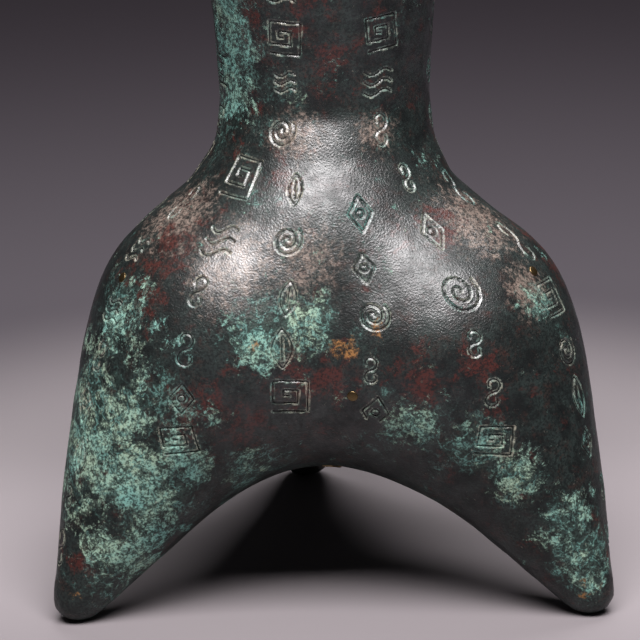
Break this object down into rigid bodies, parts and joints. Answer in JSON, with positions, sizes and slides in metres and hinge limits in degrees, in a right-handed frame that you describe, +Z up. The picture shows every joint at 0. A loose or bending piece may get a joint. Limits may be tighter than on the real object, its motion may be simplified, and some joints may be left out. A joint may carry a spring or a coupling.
{
  "type": "bronze ritual pouring vessel",
  "caption": "Cast bronze pouring vessel with hollow bag-shaped legs, a narrow neck, a flaring mouth with spout and tail, rim posts and a strap handle.",
  "frame": {"origin": "on the table, under the axis of the neck", "axes": "+Z up along the neck, -X towards the spout, +Y towards the handle and the back leg"},
  "size_m": [0.1942, 0.1381, 0.2471],
  "materials": {
    "patinated_bronze": "near-black bronze patina, waxed",
    "joining_bronze": "dark cast bronze",
    "spacer_bronze": "ochre-brown corroded bronze"
  },
  "bodies": {
    "root": {"lower_body": "patinated_bronze", "cup": "patinated_bronze", "foot_tip_left": "patinated_bronze", "foot_tip_right": "patinated_bronze", "foot_tip_back": "patinated_bronze", "handle": "patinated_bronze", "handle_lock_upper": "joining_bronze", "handle_lock_lower": "joining_bronze", "post_front": "patinated_bronze", "post_back": "patinated_bronze", "post_cap_front": "patinated_bronze", "post_cap_back": "patinated_bronze", "post_pin_front": "joining_bronze", "post_pin_back": "joining_bronze", "core_pins": "spacer_bronze", "bottom_chaplets": "spacer_bronze"}
  },
  "joints": []
}
